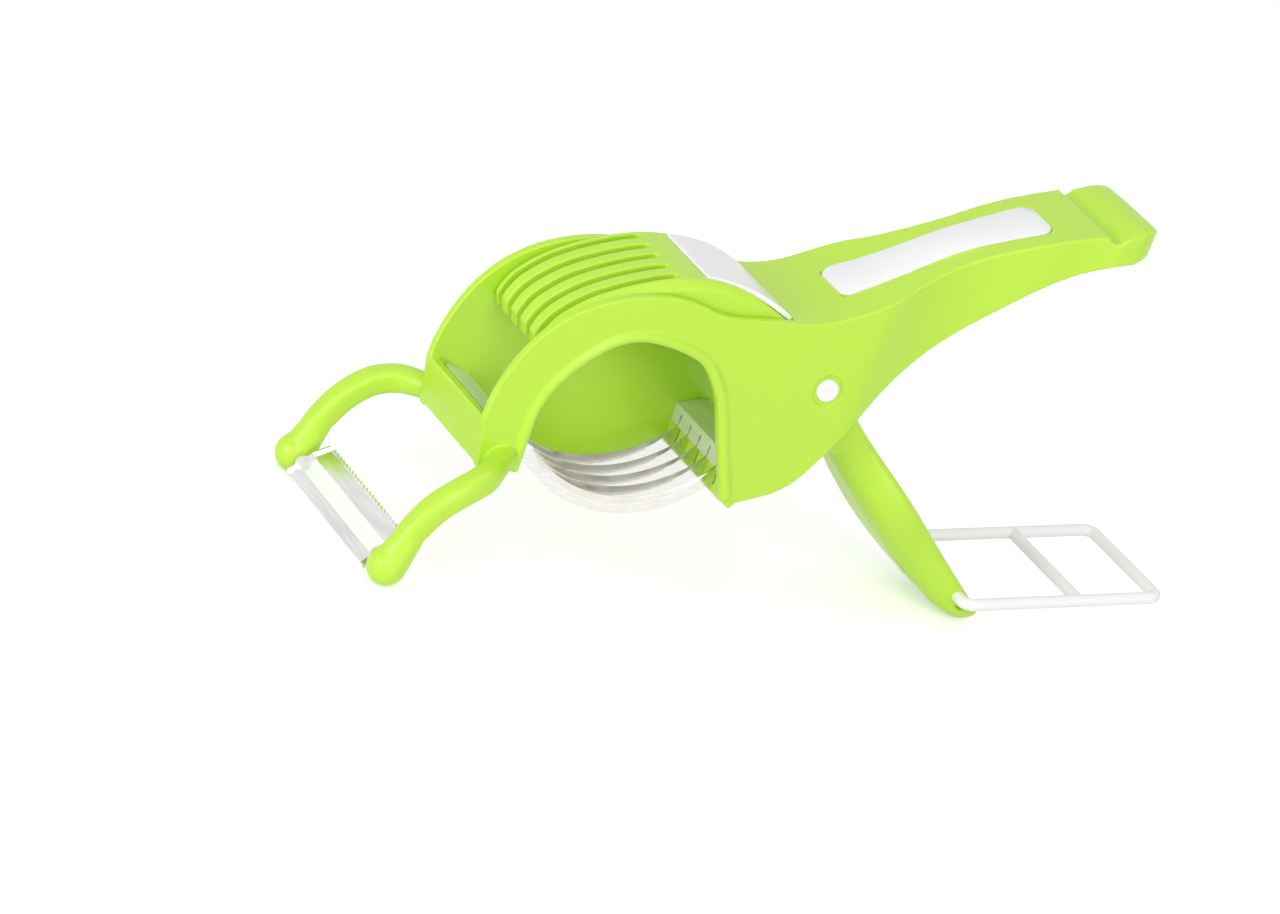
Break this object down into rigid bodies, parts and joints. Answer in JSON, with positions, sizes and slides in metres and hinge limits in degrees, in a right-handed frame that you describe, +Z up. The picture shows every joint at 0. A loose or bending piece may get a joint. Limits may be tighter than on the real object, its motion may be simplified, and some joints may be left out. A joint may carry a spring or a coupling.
{
  "type": "lever slicer with peeler",
  "caption": "Squeeze-lever fruit and vegetable slicer: slotted press jaw over curved blades, handle above, swivel peeler in front and a lock bail.",
  "frame": {"origin": "on the surface under the middle of the part's box, as it stands open on its peeler knobs and lever tip", "axes": "+X towards the handle's end, +Y across the tool, away from the side with the food arch, +Z up"},
  "size_m": [0.2634, 0.0754, 0.1288],
  "materials": {
    "green_plastic": "smooth gloss lime green",
    "white_plastic": "smooth gloss white",
    "blade_steel": "polished sheet",
    "steel": "drawn wire and rod"
  },
  "bodies": {
    "body": {"upper_handle_body": "green_plastic", "handle_grip_inlay": "white_plastic", "pivot_pin": "steel", "pivot_cap_near": "white_plastic", "pivot_cap_far": "white_plastic", "blade_1": "blade_steel", "blade_2": "blade_steel", "blade_3": "blade_steel", "blade_4": "blade_steel", "blade_5": "blade_steel", "blade_rod_front": "steel", "blade_rod_rear": "steel", "blade_spacers_front": "steel", "blade_spacers_rear": "steel", "blade_holder_front": "blade_steel", "blade_holder_rear": "blade_steel", "return_spring": "steel"},
    "lever": {"press_lever": "green_plastic", "press_head_inlay": "white_plastic"},
    "peeler": {"peeler_blade": "blade_steel"},
    "bail": {"lock_bail": "white_plastic"}
  },
  "joints": [
    {"name": "lever_pivot", "type": "hinge", "parent": "body", "child": "lever", "pos_m": [-0.00328, 0, 0.0684], "axis": [0, -1, 0], "range_deg": [0, 54], "stiffness_Nm_per_rad": 0.15, "springref_deg": -57.3, "deforming": ["return_spring"]},
    {"name": "bail_swing", "type": "hinge", "parent": "lever", "child": "bail", "pos_m": [0.06822, 0, 0.0095], "axis": [0, -1, 0], "range_deg": [-16, 48]},
    {"name": "peeler_swivel", "type": "hinge", "parent": "body", "child": "peeler", "pos_m": [-0.12618, 0, 0.0055], "axis": [0, -1, 0], "range_deg": [-22, 22]}
  ]
}
